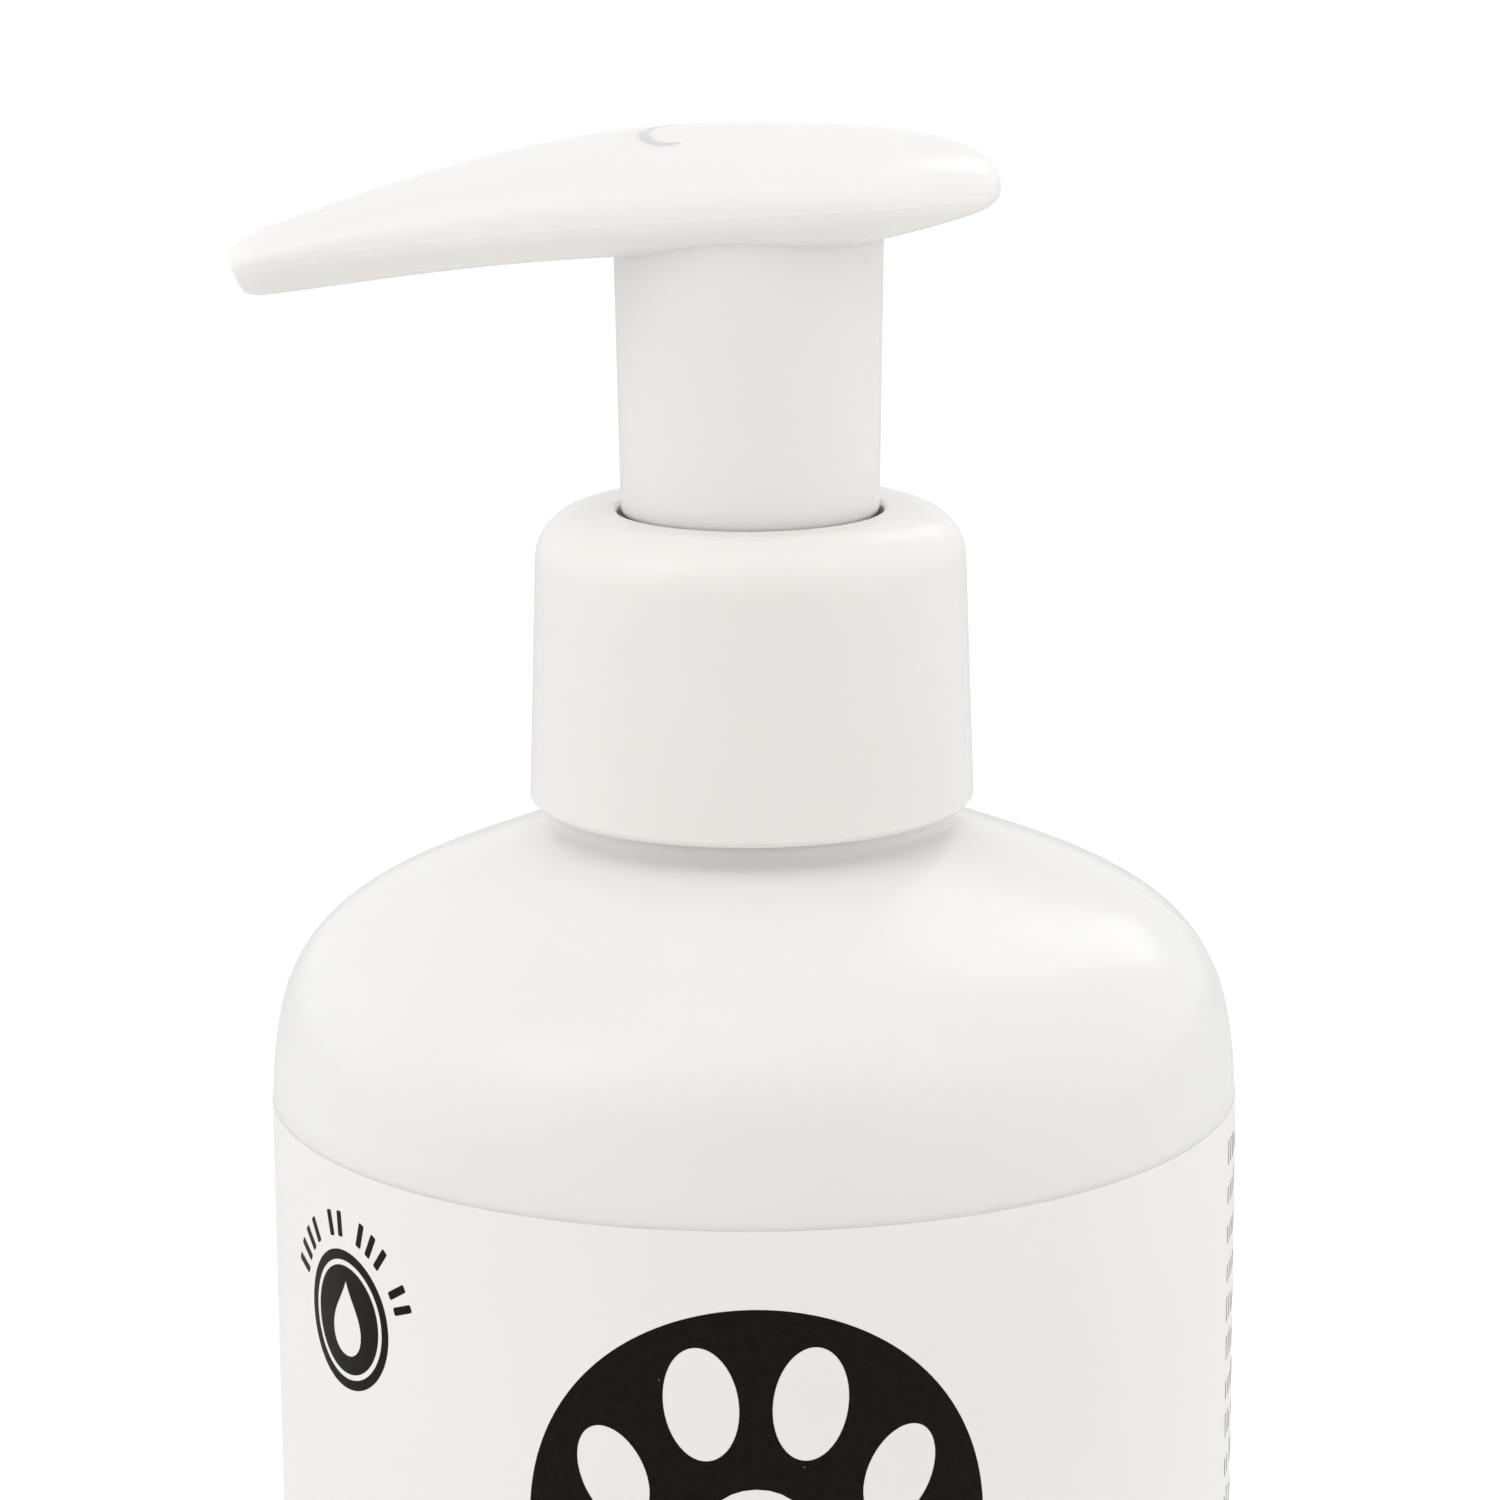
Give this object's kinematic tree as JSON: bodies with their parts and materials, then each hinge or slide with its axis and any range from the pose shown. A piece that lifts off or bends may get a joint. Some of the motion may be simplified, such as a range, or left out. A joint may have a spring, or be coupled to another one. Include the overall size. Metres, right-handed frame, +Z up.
{
  "type": "shampoo pump bottle",
  "caption": "Round plastic bottle with a wrap-around label, a screw-on lotion pump and a wide press-down head with a long nozzle.",
  "frame": {"origin": "centre of the standing ring, on the bottle's axis, at the height of the surface it stands on", "axes": "+Z up along the bottle's axis, -X the way the nozzle points, -Y the front of the label"},
  "size_m": [0.0738, 0.0722, 0.1958],
  "materials": {
    "bottle_plastic": "glossy white blow-moulded polyethylene",
    "label_film": "smooth white polypropylene film with black print",
    "closure_plastic": "glossy white polypropylene",
    "head_plastic": "glossy white polypropylene",
    "pump_plastic": "satin natural white polypropylene",
    "piston_plastic": "soft satin polyethylene",
    "tube_plastic": "milky translucent polyethylene",
    "gasket_foam": "matt white foam",
    "spring_steel": "bright drawn wire",
    "ball_steel": "polished",
    "label_ink": "black print"
  },
  "bodies": {
    "bottle": {"bottle": "bottle_plastic", "label": "label_film"},
    "pump_unit": {"pump_housing": "pump_plastic", "chaplet": "pump_plastic", "neck_gasket": "gasket_foam", "dip_tube": "tube_plastic", "return_spring": "spring_steel"},
    "collar": {"collar": "closure_plastic"},
    "plunger": {"piston_rod": "pump_plastic"},
    "actuator": {"actuator_head": "head_plastic", "stem": "pump_plastic"},
    "piston": {"piston": "piston_plastic"},
    "ball": {"inlet_ball": "ball_steel"}
  },
  "joints": [
    {"name": "pump_rise", "type": "slide", "parent": "bottle", "child": "pump_unit", "axis": [0, 0, 1], "range_m": [0, 0.00634]},
    {"name": "closure_turn", "type": "hinge", "parent": "pump_unit", "child": "collar", "pos_m": [0, 0, 0.157], "axis": [0, 0, 1], "range_deg": [0, 540]},
    {"name": "pump_stroke", "type": "slide", "parent": "pump_unit", "child": "plunger", "axis": [0, 0, -1], "range_m": [0, 0.014], "stiffness_N_per_m": 500, "springref_m": -0.012, "deforming": ["return_spring"]},
    {"name": "head_swivel", "type": "hinge", "parent": "plunger", "child": "actuator", "pos_m": [0, 0, 0.18], "axis": [0, 0, 1], "continuous": true},
    {"name": "piston_lag", "type": "slide", "parent": "plunger", "child": "piston", "axis": [0, 0, 1], "range_m": [0, 0.001]},
    {"name": "ball_lift", "type": "slide", "parent": "pump_unit", "child": "ball", "axis": [0, 0, 1], "range_m": [0, 0.0015]}
  ],
  "couplings": [
    {"joint": "closure_turn", "follows": "pump_rise", "rad_per_m": 1485.4}
  ]
}
